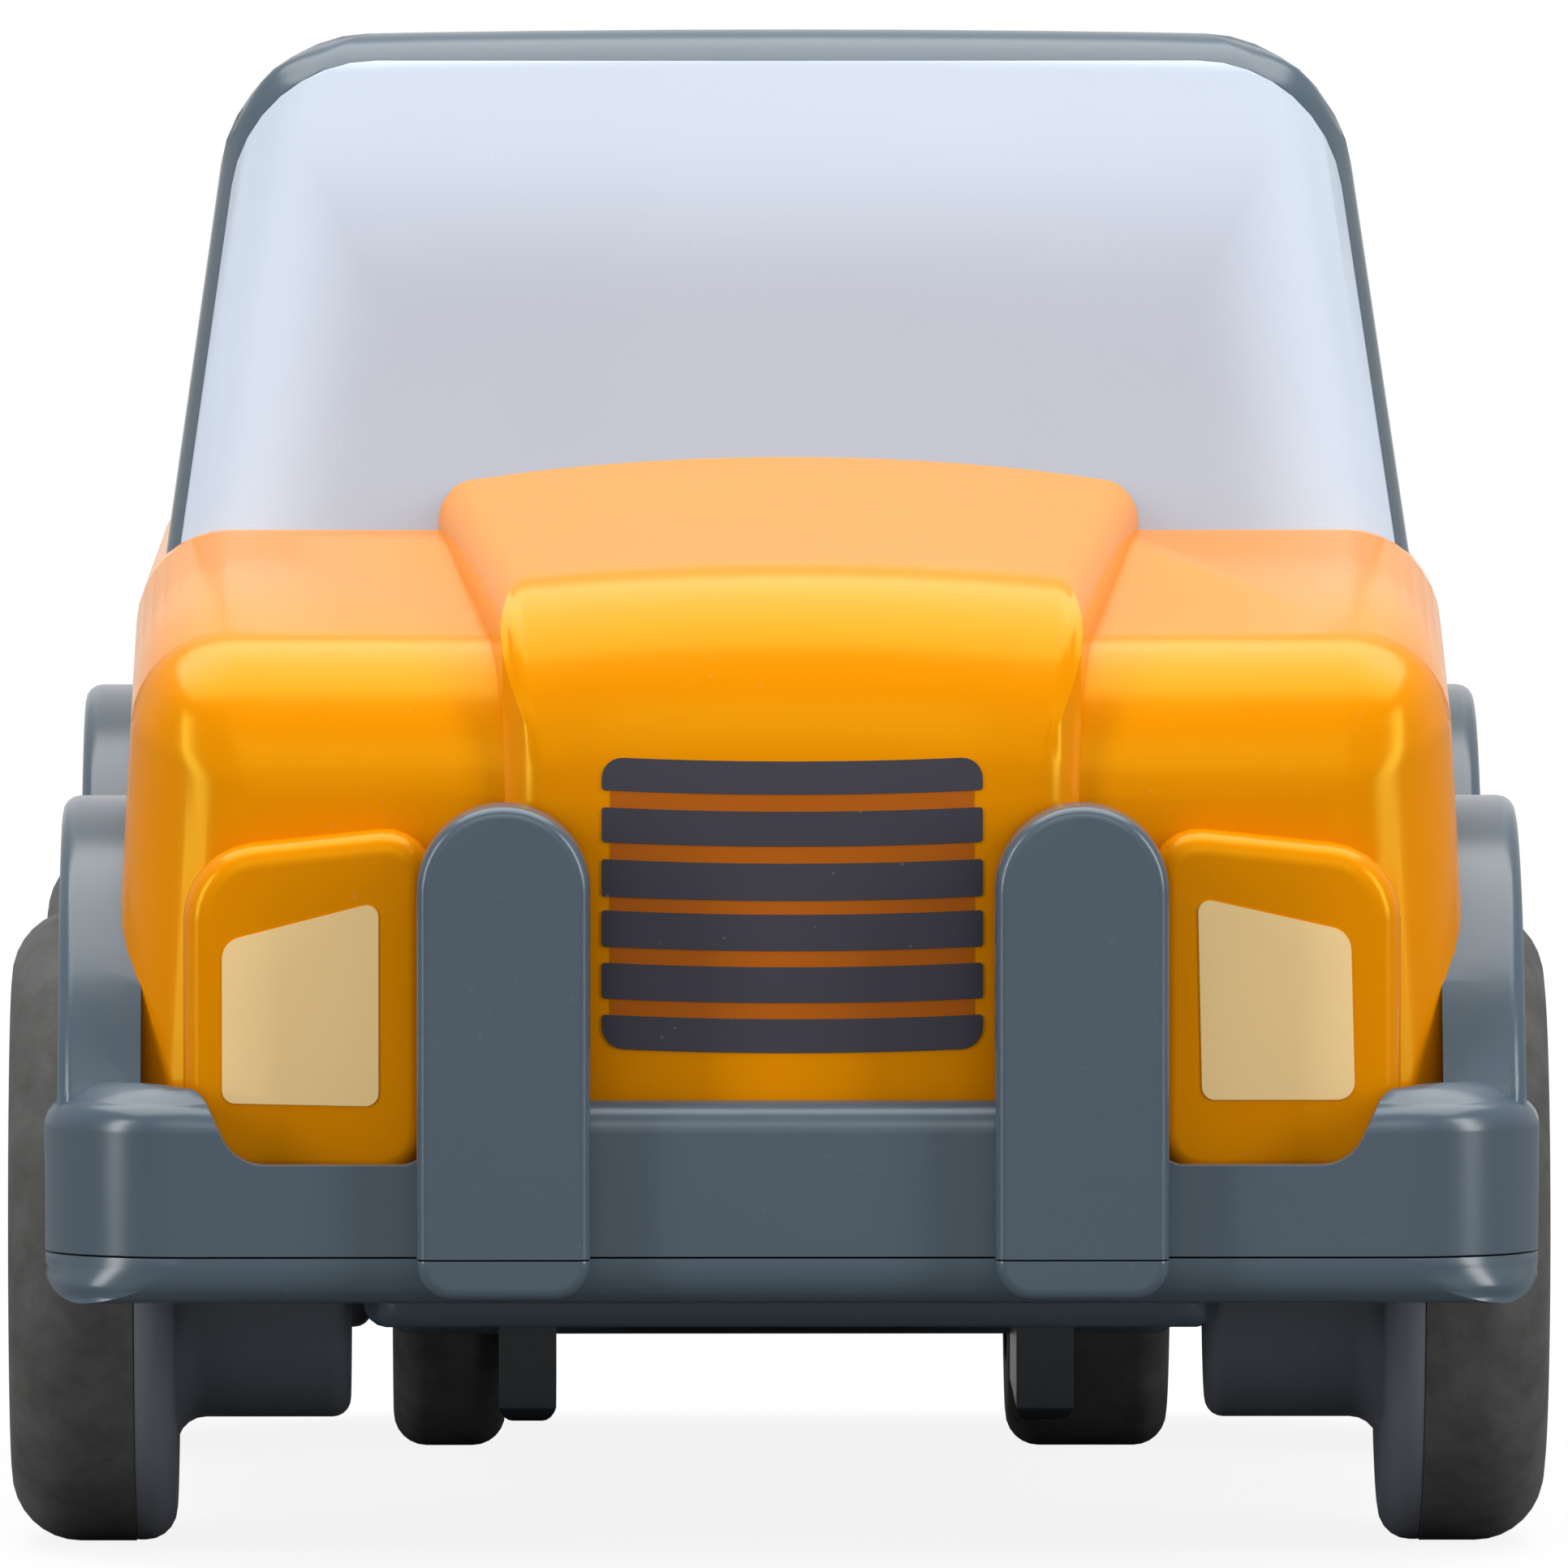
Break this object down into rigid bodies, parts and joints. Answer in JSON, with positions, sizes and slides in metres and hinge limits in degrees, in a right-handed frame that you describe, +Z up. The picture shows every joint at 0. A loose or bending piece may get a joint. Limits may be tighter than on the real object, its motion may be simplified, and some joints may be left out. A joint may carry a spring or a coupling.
{
  "type": "toy car",
  "caption": "Chunky toy off-road car with a raised bonnet, bull bars, wheel arch flares, a boxy cabin with pale windows and a friction momentum motor on the rear axle.",
  "frame": {"origin": "on the ground, under the middle of the car", "axes": "+Z up, the car's front faces -Y, +X is on the right of someone who looks at its front"},
  "size_m": [0.0544, 0.086, 0.0529],
  "materials": {
    "orange_body": "glossy moulded plastic",
    "slate_trim": "glossy moulded plastic",
    "window_pane": "smooth pale plastic",
    "wheel_plastic": "satin moulded plastic",
    "tyre_rubber": "matte, faintly mottled",
    "motor_case": "matte moulded plastic",
    "gear_plastic": "natural acetal",
    "steel": "turned steel",
    "brass": "turned brass"
  },
  "bodies": {
    "car_body": {"body_shell": "orange_body", "cabin_shell": "slate_trim", "windscreen": "window_pane", "door_window_left": "window_pane", "door_window_right": "window_pane", "rear_side_window_left": "window_pane", "rear_side_window_right": "window_pane", "rear_window": "window_pane", "bumper_frame": "slate_trim", "base_pan": "slate_trim", "front_axle_retainer": "motor_case", "body_screw_left": "steel", "body_screw_right": "steel", "body_screw_nose": "steel", "first_gear_pin": "steel", "second_gear_pin": "steel", "flywheel_pin": "steel", "gearbox_left": "motor_case", "gearbox_right": "motor_case", "axle_bush_left": "brass", "axle_bush_right": "brass"},
    "front_axle_set": {"front_axle": "steel", "front_wheel_left": "wheel_plastic", "front_wheel_right": "wheel_plastic", "front_tyre_left": "tyre_rubber", "front_tyre_right": "tyre_rubber"},
    "rear_axle_set": {"rear_axle": "steel", "rear_wheel_left": "wheel_plastic", "rear_wheel_right": "wheel_plastic", "rear_tyre_left": "tyre_rubber", "rear_tyre_right": "tyre_rubber", "drive_wheel_left": "wheel_plastic", "drive_wheel_right": "wheel_plastic", "drive_tyre_left": "tyre_rubber", "drive_tyre_right": "tyre_rubber", "axle_gear": "gear_plastic"},
    "first_gear_set": {"first_gear": "gear_plastic"},
    "second_gear_set": {"second_gear": "gear_plastic"},
    "flywheel_set": {"flywheel": "steel", "flywheel_pinion": "brass"}
  },
  "joints": [
    {"name": "front_axle_spin", "type": "hinge", "parent": "car_body", "child": "front_axle_set", "pos_m": [0, -0.024, 0.0111], "axis": [1, 0, 0], "continuous": true},
    {"name": "rear_axle_spin", "type": "hinge", "parent": "car_body", "child": "rear_axle_set", "pos_m": [0, 0.025, 0.0111], "axis": [1, 0, 0], "continuous": true},
    {"name": "first_gear_spin", "type": "hinge", "parent": "car_body", "child": "first_gear_set", "pos_m": [0, 0.02005, 0.01605], "axis": [1, 0, 0], "continuous": true},
    {"name": "second_gear_spin", "type": "hinge", "parent": "car_body", "child": "second_gear_set", "pos_m": [0, 0.01785, 0.02374], "axis": [1, 0, 0], "continuous": true},
    {"name": "flywheel_spin", "type": "hinge", "parent": "car_body", "child": "flywheel_set", "pos_m": [0, 0.01027, 0.01988], "axis": [1, 0, 0], "continuous": true}
  ],
  "couplings": [
    {"joint": "first_gear_spin", "follows": "rear_axle_spin", "ratio": -1.8},
    {"joint": "second_gear_spin", "follows": "rear_axle_spin", "ratio": 3.96},
    {"joint": "flywheel_spin", "follows": "rear_axle_spin", "ratio": -9.504}
  ]
}
